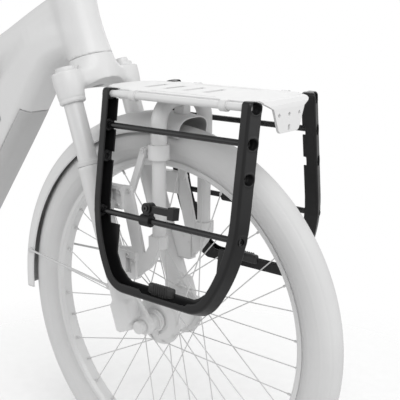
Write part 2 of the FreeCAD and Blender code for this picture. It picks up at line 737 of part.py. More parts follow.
def sleeve_right():
    """Sleeve that joins hoop and post, with the ear for the brace."""
    x = HOOP_X
    body = rod(V(x, -POST_Y, SLEEVE_LOW), V(x, -POST_Y, SLEEVE_TOP), SLEEVE_R)
    ear = block(-2, x, -POST_Y - 3, -POST_Y + 3, 304, 318)
    nose = rod(V(0, -POST_Y - 3, 311), V(0, -POST_Y + 3, 311), 7)
    body = join([body, ear, nose])
    body = body.cut(rod(V(x, -POST_Y, SLEEVE_MID), V(x, -POST_Y, SLEEVE_TOP + 1), HOOP_R))
    body = body.cut(rod(V(x, -POST_Y, SLEEVE_LOW - 1), V(x, -POST_Y, SLEEVE_MID), POST_R))
    return body.cut(bracket_screws_right())


def post_right():
    """Straight post from the sleeve down to the bracket."""
    return tube(V(HOOP_X, -POST_Y, POST_LOW), V(HOOP_X, -POST_Y, SLEEVE_MID), POST_R, POST_R - 2)


def screw(x, z, head_y, end_y, radius, head_radius):
    """Socket screw along Y with its head at head_y."""
    shank = rod(V(x, head_y, z), V(x, end_y, z), radius)
    head = rod(V(x, head_y - 3, z), V(x, head_y, z), head_radius)
    socket = rod(V(x, head_y - 4, z), V(x, head_y - 1.5, z), head_radius * 0.5)
    return join([shank, head]).cut(socket)


def bracket_screws_right():
    """Screws of the right bracket, brace and sleeve."""
    parts = [screw(-42, 236, -82, -68, 3, 4.5), screw(-47, 212, -82, -68, 3, 4.5),
             screw(-12, 118, -82, -68, 3, 5), screw(-26, 128, -82, -68, 2.5, 4),
             screw(0, 311, -69, -57, 2.5, 4.5), screw(-28, 240, -75, -63, 2.5, 4.5)]
    return Part.makeCompound(parts)


def bracket_screws():
    """Screws of both brackets."""
    right = bracket_screws_right()
    return Part.makeCompound(right.Solids + mirrored(right).Solids)


def brace_right():
    """Flat brace from the sleeve to the top of the bracket."""
    y0 = -69
    y1 = -63
    bar = slab_xz([(5.5, 308.5), (-22.5, 237.5), (-33.5, 242.5), (-5.5, 313.5)], y0, y1)
    ends = [rod(V(0, y0, 311), V(0, y1, 311), 6), rod(V(-28, y0, 240), V(-28, y1, 240), 6)]
    return join([bar] + ends).cut(bracket_screws_right())


def bracket_right():
    """Bracket clamped to the front of the leg, holding the foot of the post."""
    upper = block(-100, -38, -82, -68, 206, 246)
    lower = block(-80, -8, -82, -68, 86, 134)
    plate = slab_xz([(-44, 247), (-24, 247), (-14, 212), (3, 142), (8, 122), (3, 98), (-14, 84),
                     (-52, 84), (-56, 100), (-50, 137), (-22, 140), (-40, 206)], -75, -69)
    arm = slab_xz([(-2, 132), (10, 138), (17, 150), (17, 168), (39, 168), (39, 148), (28, 126),
                   (14, 108), (0, 98)], -75, -63)
    socket = rod(V(HOOP_X, -POST_Y, 146), V(HOOP_X, -POST_Y, 168), 15)
    body = join([upper, lower, plate, arm, socket])
    body = body.cut(block(-67, -51, -83, -74, 218, 240))
    body = body.cut(block(-31, -18, -83, -74, 96, 122))
    body = body.cut(rod(V(HOOP_X, -POST_Y, POST_LOW), V(HOOP_X, -POST_Y, 170), POST_R))
    leg = rod(fork_point(CROWN_OFFSET, -LEG_Y, 0), fork_point(CROWN_OFFSET, -LEG_Y, LEG_TOP_S), LEG_R)
    behind = slab_xz([(-160, 260), (-109, 260), (-58, 60), (-160, 60)], -100, -50)
    body = body.cut(leg).cut(behind)
    return biggest(body.cut(bracket_screws_right()))


# ---------------------------------------------------------------- side frames

def outline(inset, u, top):
    """Outer line of a side frame moved inward by inset, at depth u, open side up."""
    length = FRAME_L
    split = math.radians(BEND_SPLIT)
    big = BIG_BEND
    small = SMALL_BEND
    c1 = (big, -SIDE_STRAIGHT)
    reach = big - small
    c2 = (big - reach * math.cos(split), -SIDE_STRAIGHT - reach * math.sin(split))

    def on(centre, radius, angle):
        return V(centre[0] - (radius - inset) * math.cos(angle), u,
                 centre[1] - (radius - inset) * math.sin(angle))

    def flip(point):
        return V(length - point.x, point.y, point.z)

    quarter = math.pi / 2
    a = V(inset, u, top)
    b = on(c1, big, 0)
    b_mid = on(c1, big, split / 2)
    c = on(c1, big, split)
    c_mid = on(c2, small, (split + quarter) / 2)
    d = on(c2, small, quarter)
    edges = [Part.makeLine(a, b), Part.Arc(b, b_mid, c).toShape(), Part.Arc(c, c_mid, d).toShape(),
             Part.makeLine(d, flip(d)), Part.Arc(flip(d), flip(c_mid), flip(c)).toShape(),
             Part.Arc(flip(c), flip(b_mid), flip(b)).toShape(), Part.makeLine(flip(b), flip(a)),
             Part.makeLine(flip(a), a)]
    return Part.Wire(edges)


def placed(shape):
    """Move a shape from side-frame coordinates to its place on the right."""
    shape.rotate(V(0, 0, 0), V(1, 0, 0), -SPLAY)
    shape.translate(V(FRAME_X0, -FRAME_Y, FRAME_Z))
    return shape


def x_bar(x0, x1, z, radius):
    """Round bar along x at the hole line of the side frame."""
    return rod(V(x0, HOLE_U, z), V(x1, HOLE_U, z), radius)


def hole_heights():
    """Heights of the rail, rod and spare holes along the upright."""
    return [RAIL_HOLE_Z - HOLE_PITCH * step for step in range(3)]


def flared(inset, u, top):
    """Outline at depth u of the flared wall, moved inward by inset."""
    return outline(inset - FLARE * u / FRAME_DEEP, u, top)


def core_cut(inset, u0, u1):
    """Open middle of the U between two depths."""
    return Part.Face(outline(inset, u0, FRAME_TOP + 20)).extrude(V(0, u1 - u0, 0))


def gusset(flip):
    """Corner plate in the plane of the inboard flange."""
    points = [(6, -224), (45, -224), (45, -272), (58, -296), (74, -309), (84, -314), (84, -324),
              (60, -318), (30, -290), (12, -250)]
    if flip:
        points = [(FRAME_L - x, z) for x, z in points]
    return slab_xz(points, FRAME_DEEP, FRAME_DEEP + SKIN)


def bosses(flip):
    """Sockets for the rail, the rods and the spare rod in one upright."""
    near = 1.0
    far = SOCKET_DEEP + SOCKET_FLOOR
    if flip:
        near, far = FRAME_L - far, FRAME_L - near
    return [x_bar(near, far, z, BOSS_R) for z in hole_heights() + [LOWER_ROD_Z]]


def side_frame_local():
    """U-shaped channel with sockets, notches and corner gussets."""
    deep = FRAME_DEEP
    length = FRAME_L
    shell = Part.makeLoft([flared(0, 0, FRAME_TOP), flared(0, deep + SKIN, FRAME_TOP)], True, True)
    room = Part.makeLoft([flared(SKIN, SKIN, FRAME_TOP - SKIN), flared(SKIN, deep, FRAME_TOP - SKIN)],
                         True, True)
    body = shell.cut(room)
    body = body.cut(core_cut(OUT_FLANGE, -1, deep)).cut(core_cut(IN_FLANGE, deep, deep + SKIN + 1))
    pieces = [body, gusset(False), gusset(True)]
    for boss in bosses(False) + bosses(True):
        pieces.append(boss.common(shell))
    body = join(pieces)
    for z in hole_heights():
        body = body.cut(x_bar(length - SOCKET_DEEP, length + 12, z, HOLE_R))
    for z, radius in zip(hole_heights(), (RAIL_R, ROD_R, ROD_R)):
        body = body.cut(x_bar(SOCKET_DEEP, length - SOCKET_DEEP + 1, z, radius))
    body = body.cut(x_bar(length - 20, length, hole_heights()[2], HOLE_R))
    body = body.cut(x_bar(12, length - 12, LOWER_ROD_Z, ROD_R))
    for z in hole_heights():
        for x0 in (12.2, length - 30):
            body = body.cut(Part.makeBox(17.8, 6, 14, V(x0, deep - 2, z - 7)))
    return body


def side_frame_right():
    """Right side frame, drilled for its rod screws."""
    return biggest(placed(side_frame_local()).cut(rod_screws_right()))


def rod_between(x0, z):
    """Right-hand cross rod at height z of the hole line."""
    return placed(x_bar(x0, FRAME_L - x0, z, ROD_R))


def upper_rod_right():
    """Upper cross rod between the two uprights."""
    return rod_between(SOCKET_DEEP, RAIL_HOLE_Z - HOLE_PITCH)


def lower_rod_right():
    """Lower cross rod, threaded at both ends."""
    return rod_between(12, LOWER_ROD_Z).cut(rod_screws_right())


def rod_screws_right():
    """Countersunk screws into both ends of the right lower rod."""
    parts = []
    for flip in (False, True):
        stations = [(-1.6, 6.0), (3.0, 2.6), (26.0, 2.6)]
        points = [FRAME_L - x if flip else x for x, radius in stations]
        head = cone(V(points[0], HOLE_U, LOWER_ROD_Z), V(points[1], HOLE_U, LOWER_ROD_Z), 6.0, 2.6)
        shank = rod(V(points[1], HOLE_U, LOWER_ROD_Z), V(points[2], HOLE_U, LOWER_ROD_Z), 2.6)
        inner = points[0] + (1.8 if not flip else -1.8)
        socket = rod(V(points[0], HOLE_U, LOWER_ROD_Z), V(inner, HOLE_U, LOWER_ROD_Z), 2.2)
        parts.append(placed(join([head, shank]).cut(socket)))
    return Part.makeCompound(parts)


def rod_screws():
    """Countersunk screws of both lower rods."""
    right = rod_screws_right()
    return Part.makeCompound(right.Solids + mirrored(right).Solids)


def pad_right():
    """Ribbed rubber pad over the inboard flange at the bottom of the frame."""
    bottom = -SIDE_STRAIGHT - (BIG_BEND - SMALL_BEND) * math.sin(math.radians(BEND_SPLIT)) - SMALL_BEND
    x0 = 122.0
    x1 = 178.0
    body = [Part.makeBox(x1 - x0, 14, 15, V(x0, 14.5, bottom + 8))]
    for step in range(7):
        body.append(Part.makeBox(4, 17, 17, V(x0 + 3 + 7.6 * step, 13, bottom + 7.5)))
    return placed(join(body)).cut(placed(side_frame_local()))


def clip_local(x0):
    """Swinging luggage clip: collar round the rod, neck and arm with a hooked end."""
    z = LOWER_ROD_Z
    u = HOLE_U
    collar = rod(V(x0, u, z), V(x0 + 20, u, z), 10)
    neck = Part.makeBox(14, 12, 26, V(x0 + 3, u - 4, z))
    boss = rod(V(x0 + 10, u - 6, z + 20), V(x0 + 10, u + 10, z + 20), 9)
    arm = Part.makeBox(56, 11, 11, V(x0 + 10, u - 3, z + 14))
    tip = Part.makeBox(12, 15, 20, V(x0 + 56, u - 5, z + 9))
    body = join([collar, neck, boss, arm, tip])
    body = body.cut(rod(V(x0 - 1, u, z), V(x0 + 21, u, z), ROD_R + RUN_FIT))
    return body


def clip_right():
    """Luggage clip on the right lower rod."""
    return placed(clip_local(103)).cut(clip_screw_right())


def clip_screw_right():
    """Pivot screw of the right clip."""
    z = LOWER_ROD_Z + 20
    head = rod(V(113, HOLE_U - 8, z), V(113, HOLE_U - 4, z), 5)
    shank = rod(V(113, HOLE_U - 4, z), V(113, HOLE_U + 8, z), 3)
    socket = rod(V(113, HOLE_U - 9, z), V(113, HOLE_U - 6, z), 2)
    return placed(join([head, shank]).cut(socket))


MIDDLE = [head_tube, top_tube, down_tube, battery_cover, charge_port_cap, lower_bearing,
          upper_bearing, steerer_tube, lower_headset_cover, upper_headset_cover, fork_crown,
          stanchion_caps, dust_seals, thru_axle, axle_nut, hub_spacers, tyre, rim, spokes,
          nipples, valve_stem, hub_shell, hub_bearings, mudguard, mudguard_mount, platform_tray,
          front_plate, carrier_hoop, bracket_screws, rod_screws]
PAIRS = [stanchion_right, lower_leg_right, stay_right, rail_right, sleeve_right, post_right,
         brace_right, bracket_right, side_frame_right, upper_rod_right, lower_rod_right,
         pad_right, clip_right, clip_screw_right]

os.makedirs("parts", exist_ok=True)
for maker in MIDDLE:
    maker().exportStep("parts/" + maker.__name__ + ".step")
for maker in PAIRS:
    shape = maker()
    shape.exportStep("parts/" + maker.__name__ + ".step")
    mirrored(shape).exportStep("parts/" + maker.__name__.replace("right", "left") + ".step")
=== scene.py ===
"""Visual model of the front end of an electric bicycle with a front carrier and two side frames.

Metres, in the CAD frame: +X the way the bicycle rides, +Y the rider's left, +Z up, origin
at the middle of the front axle.  Each worked piece is a surface computed with numpy.
"""
import math

import bpy
import numpy as np
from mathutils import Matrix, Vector


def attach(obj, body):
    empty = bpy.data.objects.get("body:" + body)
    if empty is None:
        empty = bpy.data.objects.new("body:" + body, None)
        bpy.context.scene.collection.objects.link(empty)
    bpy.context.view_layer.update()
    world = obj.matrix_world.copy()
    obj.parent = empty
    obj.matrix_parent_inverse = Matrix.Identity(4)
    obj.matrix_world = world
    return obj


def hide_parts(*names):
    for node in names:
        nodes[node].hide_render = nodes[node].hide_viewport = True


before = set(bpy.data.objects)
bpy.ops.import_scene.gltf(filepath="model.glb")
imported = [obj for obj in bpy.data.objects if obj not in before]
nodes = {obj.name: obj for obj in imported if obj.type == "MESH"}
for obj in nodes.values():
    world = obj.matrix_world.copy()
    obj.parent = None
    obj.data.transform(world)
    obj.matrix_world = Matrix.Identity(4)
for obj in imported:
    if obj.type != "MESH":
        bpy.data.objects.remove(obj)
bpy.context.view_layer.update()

# ---------------------------------------------------------------- dimensions, metres
TYRE_R = 0.350
TYRE_HALF = 0.031
RIM_R = 0.288
GUARD_R = 0.370
GUARD_FRONT = math.radians(81.5)
GUARD_REAR = math.radians(183.0)
GROUND = -0.350


# ---------------------------------------------------------------- materials

def new_material(name):
    """Empty material with a Principled shader, its nodes and links."""
    mat = bpy.data.materials.new(name)
    mat.use_nodes = True
    tree = mat.node_tree
    tree.nodes.clear()
    shader = tree.nodes.new("ShaderNodeBsdfPrincipled")
    out = tree.nodes.new("ShaderNodeOutputMaterial")
    tree.links.new(shader.outputs["BSDF"], out.inputs["Surface"])
    return mat, tree, shader


def noise(tree, coords, scale, detail=4.0, stretch=(1, 1, 1)):
    """Noise texture on object coordinates, stretched along the axes."""
    mapping = tree.nodes.new("ShaderNodeMapping")
    mapping.inputs["Scale"].default_value = stretch
    tree.links.new(coords, mapping.inputs["Vector"])
    tex = tree.nodes.new("ShaderNodeTexNoise")
    tex.inputs["Scale"].default_value = scale
    tex.inputs["Detail"].default_value = detail
    tree.links.new(mapping.outputs["Vector"], tex.inputs["Vector"])
    return tex.outputs["Fac"]


def ramp(tree, fac, low, high, start=0.3, end=0.7):
    """Colour ramp between two greys or colours."""
    node = tree.nodes.new("ShaderNodeValToRGB")
    node.color_ramp.elements[0].position = start
    node.color_ramp.elements[1].position = end
    node.color_ramp.elements[0].color = tuple(low) + (1,)
    node.color_ramp.elements[1].color = tuple(high) + (1,)
    tree.links.new(fac, node.inputs["Fac"])
    return node.outputs["Color"]


def finish(name, colour, rough, metallic=0.0, mottle=0.03, grain=900.0, grain_depth=0.00004,
           stretch=(1, 1, 1), edge=0.0008, coat=0.0, specular=0.5):
    """A worked finish: slow tone change, uneven gloss, fine grain and softened edges."""
    mat, tree, shader = new_material(name)
    coords = tree.nodes.new("ShaderNodeTexCoord").outputs["Object"]
    slow = noise(tree, coords, 9.0, 3.0)
    low = [max(0.0, c * (1 - mottle)) for c in colour]
    high = [min(1.0, c * (1 + mottle)) for c in colour]
    tree.links.new(ramp(tree, slow, low, high), shader.inputs["Base Color"])
    gloss = noise(tree, coords, 60.0, 5.0, stretch)
    tone = ramp(tree, gloss, [rough * 0.88] * 3, [min(1.0, rough * 1.12)] * 3)
    tree.links.new(tone, shader.inputs["Roughness"])
    shader.inputs["Metallic"].default_value = metallic
    shader.inputs["Coat Weight"].default_value = coat
    shader.inputs["Specular IOR Level"].default_value = specular
    fine = noise(tree, coords, grain, 2.0, stretch)
    bump = tree.nodes.new("ShaderNodeBump")
    bump.inputs["Strength"].default_value = 0.6
    bump.inputs["Distance"].default_value = grain_depth
    tree.links.new(fine, bump.inputs["Height"])
    if edge > 0:
        bevel = tree.nodes.new("ShaderNodeBevel")
        bevel.samples = 4
        bevel.inputs["Radius"].default_value = edge
        tree.links.new(bevel.outputs["Normal"], bump.inputs["Normal"])
    tree.links.new(bump.outputs["Normal"], shader.inputs["Normal"])
    return mat


PAINT = finish("pale paint", (0.66, 0.66, 0.66), 0.42, mottle=0.012, grain=1500, coat=0.15, edge=0.0015)
PLASTIC = finish("pale moulded plastic", (0.70, 0.70, 0.70), 0.55, mottle=0.012, grain=1800,
                 grain_depth=0.00006, edge=0.001)
ALLOY = finish("pale coated alloy", (0.66, 0.66, 0.66), 0.36, metallic=0.1, mottle=0.015,
               grain=1200, edge=0.0012)
COVER = finish("grey cover", (0.47, 0.47, 0.47), 0.45, mottle=0.015, grain=1500, edge=0.0012)
RUBBER = finish("pale rubber", (0.60, 0.60, 0.60), 0.7, mottle=0.03, grain=900, grain_depth=0.0001)
STEEL = finish("spoke steel", (0.62, 0.62, 0.62), 0.33, metallic=0.35, mottle=0.03, grain=700)
NYLON = finish("black moulded nylon", (0.008, 0.008, 0.0085), 0.38, mottle=0.10, grain=1600,
               grain_depth=0.00006, edge=0, specular=0.34)
GLOSS = finish("black coated steel", (0.008, 0.008, 0.0085), 0.22, mottle=0.10, grain=900,
               stretch=(0.1, 1, 1), edge=0.0006, specular=0.45)
# Darker grey for the inner face of the mudguard: painted shade inside the guard, on the same plastic.
GUARD_SHADE_INSIDE = finish("guard inside painted shade", (0.34, 0.34, 0.34), 0.6, mottle=0.35, grain=900,
                      grain_depth=0.0001, edge=0)
DARK = finish("dark rubber", (0.024, 0.024, 0.024), 0.55, mottle=0.15, grain=900,
              grain_depth=0.00012, edge=0.001)

BY_NODE = {
    "battery_cover": COVER, "charge_port_cap": DARK, "lower_bearing": STEEL,
    "upper_bearing": STEEL, "hub_bearings": STEEL, "thru_axle": ALLOY, "axle_nut": ALLOY,
    "bracket_screws": STEEL, "dust_seals": RUBBER, "rim": ALLOY, "hub_shell": ALLOY,
    "hub_spacers": ALLOY, "spokes": STEEL, "nipples": STEEL, "stay_right": STEEL,
    "stay_left": STEEL, "valve_stem": RUBBER, "platform_tray": PLASTIC, "front_plate": PLASTIC,
    "mudguard": PLASTIC, "side_frame_right": NYLON, "side_frame_left": NYLON,
    "clip_right": NYLON, "clip_left": NYLON, "upper_rod_right": GLOSS, "upper_rod_left": GLOSS,
    "lower_rod_right": GLOSS, "lower_rod_left": GLOSS, "rod_screws": GLOSS,
    "clip_screw_right": GLOSS, "clip_screw_left": GLOSS, "pad_right": DARK, "pad_left": DARK,
    "stanchion_right": ALLOY, "stanchion_left": ALLOY,
}
for name, obj in nodes.items():
    obj.data.materials.clear()
    obj.data.materials.append(BY_NODE.get(name, PAINT))


# ---------------------------------------------------------------- worked surfaces

def surface(name, grid, material, close_u=False, close_v=False, smooth=True, flip=False, caps=False):
    """Mesh object from a grid of points, rows by columns by 3; caps closes both end rows."""
    rows, cols = grid.shape[:2]
    index = np.arange(rows * cols).reshape(rows, cols)
    r = np.arange(rows if close_u else rows - 1)
    c = np.arange(cols if close_v else cols - 1)
    rr, cc = np.meshgrid(r, c, indexing="ij")
    r2 = (rr + 1) % rows
    c2 = (cc + 1) % cols
    quads = np.stack([index[rr, cc], index[r2, cc], index[r2, c2], index[rr, c2]], -1).reshape(-1, 4)
    if flip:
        quads = quads[:, ::-1]
    faces = quads.tolist()
    if caps:
        faces += [index[0].tolist(), index[-1].tolist()[::-1]]
    mesh = bpy.data.meshes.new(name)
    mesh.from_pydata(grid.reshape(-1, 3).tolist(), [], faces)
    mesh.polygons.foreach_set("use_smooth", np.arange(len(faces)) < (len(quads) if smooth else 0))
    mesh.materials.append(material)
    mesh.update()
    obj = bpy.data.objects.new(name, mesh)
    bpy.context.collection.objects.link(obj)
    return obj


def wheel_grid(radius, side, angles):
    """Points of a profile (radius, side) swung about the axle through angles."""
    ca = np.cos(angles)[:, None]
    sa = np.sin(angles)[:, None]
    return np.stack([radius[None] * ca, np.broadcast_to(side[None], (len(angles), len(side))),
                     radius[None] * sa], -1)


def ridge(at, middle, width):
    """Bell-shaped ridge of height 1 about the middle."""
    return np.exp(-((at - middle) / width) ** 2)


def tyre_profile():
    """Closed tyre section as (radius, side): outside from bead to bead, then back inside.

    The outside is a circle of 31 mm round a 319 mm ring, with two narrow ribs and two
    narrow grooves on each side of the crown.
    """
    t = np.linspace(-math.radians(152), math.radians(152), 97)
    turn = np.abs(t)
    rise = 0.0005 * ridge(turn, 1.95, 0.05) + 0.0004 * ridge(turn, 1.2, 0.04)
    groove = -0.0006 * ridge(turn, 0.62, 0.03) - 0.0005 * ridge(turn, 0.30, 0.025)
    radius = 0.319 + (TYRE_HALF + rise + groove) * np.cos(t)
    side = (TYRE_HALF + rise + groove) * np.sin(t)
    inner = np.linspace(math.radians(140), -math.radians(140), 41)
    foot_r = np.array([0.2875, 0.2830, 0.2830, 0.2900])
    foot_y = np.array([0.0132, 0.0128, 0.0100, 0.0105])
    radius = np.concatenate([radius, foot_r, 0.319 + 0.028 * np.cos(inner), foot_r[::-1]])
    side = np.concatenate([side, foot_y, 0.028 * np.sin(inner), -foot_y[::-1]])
    return radius, side


radius, side = tyre_profile()
tyre = surface("tyre_surface", wheel_grid(radius, side, np.linspace(0, 2 * math.pi, 361)[:-1]),
               RUBBER, close_u=True, close_v=True)
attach(tyre, "wheel")
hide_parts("tyre")


def guard_profile():
    """Closed mudguard section as (radius, side): crown, shoulders, side walls, rolled edges."""
    s = np.linspace(-1, 1, 61)
    a = np.abs(s)
    side = np.sign(s) * np.where(a < 0.72, 0.0385 * np.sin(a / 0.72 * math.pi / 2) ** 0.93, 0.0385)
    radius = np.where(a < 0.72, GUARD_R - 0.022 * (1 - np.cos(a / 0.72 * math.pi / 2)) ** 1.25,
                      GUARD_R - 0.022 - (a - 0.72) / 0.28 * 0.010)
    outer = np.stack([radius, side], 1)
    step = np.gradient(outer, axis=0)
    normal = np.stack([step[:, 1], -step[:, 0]], 1)
    normal /= np.linalg.norm(normal, axis=1)[:, None]
    inner = outer - normal * 0.0024
    roll = []
    for end, sign in ((outer[-1], 1), (outer[0], -1)):
        t = np.linspace(0, math.pi * 1.3, 9)
        centre = np.array([end[0], end[1] - sign * 0.0016])
        ring = np.stack([centre[0] - 0.0016 * np.sin(t), centre[1] + sign * 0.0016 * np.cos(t)], 1)
        roll.append(ring)
    loop = np.concatenate([outer, roll[0], inner[::-1][1:-1], roll[1][::-1]])
    return loop[:, 0], loop[:, 1]


radius, side = guard_profile()
angles = np.linspace(GUARD_FRONT, GUARD_REAR, 181)
body = wheel_grid(radius, side, angles)
guard = surface("mudguard_surface", body, PLASTIC, close_v=True, caps=True)
# The inner face takes the darker grey as painted shade; the outer face, rolled edges and end caps keep the
# pale plastic.
guard.data.materials.append(GUARD_SHADE_INSIDE)
loop = len(radius)
slot_of = np.zeros(len(guard.data.polygons), int)
slot_of[(np.arange(len(slot_of)) % loop) > 67] = 1
slot_of[(np.arange(len(slot_of)) % loop) > loop - 9] = 0
slot_of[-2:] = 0
guard.data.polygons.foreach_set("material_index", slot_of)
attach(guard, "fork_lower")
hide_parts("mudguard")

# ---------------------------------------------------------------- level surfaces, millimetres

HEAD_TILT = math.radians(19.0)
AXLE_OFFSET = 34.0
LEG_Y = 73.0
SEAM_S = 488.0
HEAD_TOP_S = 640.0
SOCKET_BORE = 17.6
AXLE_BORE = 7.6


def fork_frame(x, z):
    """Distance ahead of the steering axis and height along it, for points in the XZ plane."""
    ca, sa = math.cos(HEAD_TILT), math.sin(HEAD_TILT)
    dx = x + AXLE_OFFSET * ca
    dz = z + AXLE_OFFSET * sa
    return dx * ca + dz * sa, dz * ca - dx * sa


def blend_union(a, b, width):
    """Union of two distance fields with a fillet of the given width."""
    h = np.maximum(width - np.abs(a - b), 0) / width
    return np.minimum(a, b) - h * h * width / 4


def round_intersection(a, b, r):
    """Intersection of two distance fields with its edge rounded to r."""
    pa = np.maximum(a + r, 0)
    pb = np.maximum(b + r, 0)
    return np.minimum(np.maximum(a, b), -r) + np.hypot(pa, pb)


def rounded_box(dx, dy, dz, hx, hy, hz, r):
    """Distance to a box of half sizes hx, hy, hz with edges rounded to r."""
    qx = np.abs(dx) - (hx - r)
    qy = np.abs(dy) - (hy - r)
    qz = np.abs(dz) - (hz - r)
    out = np.sqrt(np.maximum(qx, 0) ** 2 + np.maximum(qy, 0) ** 2 + np.maximum(qz, 0) ** 2)
    return out + np.minimum(np.maximum(np.maximum(qx, qy), qz), 0) - r


def level_surface(name, field, low, high, step, material):
    """Mesh of the zero level of a distance field sampled on a grid (surface nets).

    Every grid cell that the level passes through gets one point, the mean of the places
    where the level crosses the cell's edges; every crossed grid edge gets one face.
    """
    axes = [np.arange(a, b + step, step) for a, b in zip(low, high)]
    x, y, z = np.meshgrid(*axes, indexing="ij")
    f = field(x, y, z)
    n = np.array(f.shape) - 1
    total = np.zeros(tuple(n) + (3,))
    count = np.zeros(tuple(n))
    for axis in range(3):
        others = [a for a in range(3) if a != axis]
        for o1 in (0, 1):
            for o2 in (0, 1):
                offset = np.zeros(3, int)
                offset[others[0]] = o1
                offset[others[1]] = o2
                ahead = offset.copy()
                ahead[axis] = 1
                fa = f[tuple(slice(o, o + m) for o, m in zip(offset, n))]
                fb = f[tuple(slice(o, o + m) for o, m in zip(ahead, n))]
                cross = (fa < 0) != (fb < 0)
                t = np.where(cross, fa / np.where(cross, fa - fb, 1), 0)
                for a in range(3):
                    total[..., a] += np.where(cross, offset[a] + (t if a == axis else 0), 0)
                count += cross
    live = count > 0
    number = np.full(tuple(n), -1)
    number[live] = np.arange(live.sum())
    cells = np.argwhere(live)
    points = (cells + total[live] / count[live][:, None]) * step + np.array(low)
    faces = []
    for axis in range(3):
        u, v = [(1, 2), (2, 0), (0, 1)][axis]
        sel = [slice(1, m) for m in n]
        sel[axis] = slice(0, n[axis])
        ahead = list(sel)
        ahead[axis] = slice(1, n[axis] + 1)
        fa = f[tuple(sel)] < 0
        fb = f[tuple(ahead)] < 0
        for flip, mask in ((False, fa & ~fb), (True, ~fa & fb)):
            at = np.argwhere(mask)
            base = at + np.array([0 if a == axis else 1 for a in range(3)])
            corners = []
            for du, dv in ((-1, -1), (0, -1), (0, 0), (-1, 0)):
                cell = base.copy()
                cell[:, u] += du
                cell[:, v] += dv
                corners.append(number[cell[:, 0], cell[:, 1], cell[:, 2]])
            quad = np.stack(corners, 1)
            faces.append(quad[:, ::-1] if flip else quad)
    faces = np.concatenate(faces)
    mesh = bpy.data.meshes.new(name)
    mesh.from_pydata((points / 1000).tolist(), [], faces.tolist())
    mesh.polygons.foreach_set("use_smooth", np.ones(len(faces), bool))
    mesh.materials.append(material)
    mesh.update()
    obj = bpy.data.objects.new(name, mesh)
    bpy.context.collection.objects.link(obj)
    return obj


def along_path(x, y, z, stations):
    """Distance to a tube swept through stations in the XZ plane.

    A station is (middle x, middle z, half depth, half width, corner radius).  Each point
    takes the nearest place on the broken line through the middles, and the sizes there.
    """
    best = np.full(x.shape, 1e9)
    size = [np.zeros(x.shape) for _ in range(3)]
    for a, b in zip(stations[:-1], stations[1:]):
        run = np.array([b[0] - a[0], b[1] - a[1]])
        length = np.hypot(*run)
        t = ((x - a[0]) * run[0] + (z - a[1]) * run[1]) / length ** 2
        tc = np.clip(t, 0, 1)
        dist = np.hypot(x - a[0] - tc * run[0], z - a[1] - tc * run[1])
        near = dist < best
        best = np.where(near, dist, best)
        for i in range(3):
            size[i] = np.where(near, a[2 + i] + tc * (b[2 + i] - a[2 + i]), size[i])
    depth, width, corner = size
    qd = best - (depth - corner)
    qy = np.abs(y) - (width - corner)
    out = np.sqrt(np.maximum(qd, 0) ** 2 + np.maximum(qy, 0) ** 2)
    return out + np.minimum(np.maximum(qd, qy), 0) - corner


def smooth_stations(stations, count):
    """Stations resampled along a smooth curve through the given ones."""
    rows = np.array(stations, float)
    at = np.linspace(0, len(rows) - 1, count)
    i = np.clip(at.astype(int), 0, len(rows) - 2)
    t = (at - i)[:, None]
    pad = np.concatenate([[2 * rows[0] - rows[1]], rows, [2 * rows[-1] - rows[-2]]])
    p0, p1, p2, p3 = pad[i], pad[i + 1], pad[i + 2], pad[i + 3]
    return 0.5 * (2 * p1 + (p2 - p0) * t + (2 * p0 - 5 * p1 + 4 * p2 - p3) * t ** 2
                  + (3 * p1 - p0 - 3 * p2 + p3) * t ** 3)


DOWN = smooth_stations([(-226, 486, 30, 34, 22), (-279, 468, 37, 40, 28), (-327, 435, 46, 42, 30),
                        (-415, 330, 55, 42, 28), (-562, 129, 50, 42, 26)], 17)
TOP = smooth_stations([(-233, 548, 29, 31, 24), (-318, 508, 29, 33, 24), (-400, 466, 31, 34, 26),
                       (-485, 420, 39, 33, 26)], 9)


def down_the_tube(x, z, x0, z0):
    """How far a point lies down the down tube from the place x0, z0."""
    return (x0 - x) * 0.607 + (z0 - z) * 0.795


def frame_field(x, y, z):
    """Head tube, top tube and down tube run together with fillets, cut flat at their ends."""
    fore, s = fork_frame(x, z)
    head_r = 35.5 + 5.5 * np.clip((560 - s) / 72, 0, 1) ** 2
    head = np.maximum(np.hypot(fore, y) - head_r, s - HEAD_TOP_S)
    head = np.maximum(head, SEAM_S - s)
    down = along_path(x, y, z, DOWN)
    top = along_path(x, y, z, TOP)
    down = np.maximum(down, down_the_tube(x, z, -562, 129))
    top = np.maximum(top, (-485 - x) * 0.88 + (420 - z) * 0.47)
    tubes = blend_union(down, top, 26.0)
    whole = blend_union(tubes, head, 20.0)
    whole = np.maximum(whole, 18.5 - np.hypot(fore, y))
    at_seam = (s >= SEAM_S) & (np.hypot(fore, y) <= 52)
    return np.where(at_seam, np.maximum(whole, SEAM_S - s), whole)


def cover_field(x, y, z):
    """Distance to the cover's slice of the down tube, negative inside, and past its seam."""
    along = down_the_tube(x, z, -340, 338)
    across = (x + 340) * 0.795 - (z - 338) * 0.607
    lift = 3.0 * (np.abs(y) / 42) ** 2
    return np.maximum(-along + lift, -17 - across), along - lift


def skin_field(x, y, z):
    """Frame without the cover's slice, the charge port's recess and the hollow lower end."""
    zone, _ = cover_field(x, y, z)
    body = np.maximum(frame_field(x, y, z), -zone)
    port = np.maximum(np.hypot(x + 425, z - 322) - 11.6, y + 40)
    hollow = along_path(x, y, z, DOWN) + 9
    lower_end = np.maximum(hollow, -down_the_tube(x, z, -500, 200) - 20)
    clear_of_cover = 5.0 - zone
    return np.maximum(np.maximum(body, -port), -np.maximum(lower_end, clear_of_cover))


def panel_field(x, y, z):
    """Battery cover: its slice of the frame, pulled back 0.9 mm at the seam, 0.25 elsewhere."""
    zone, along = cover_field(x, y, z)
    return np.maximum(frame_field(x, y, z), zone + np.where(along < 3, 0.9, 0.25))


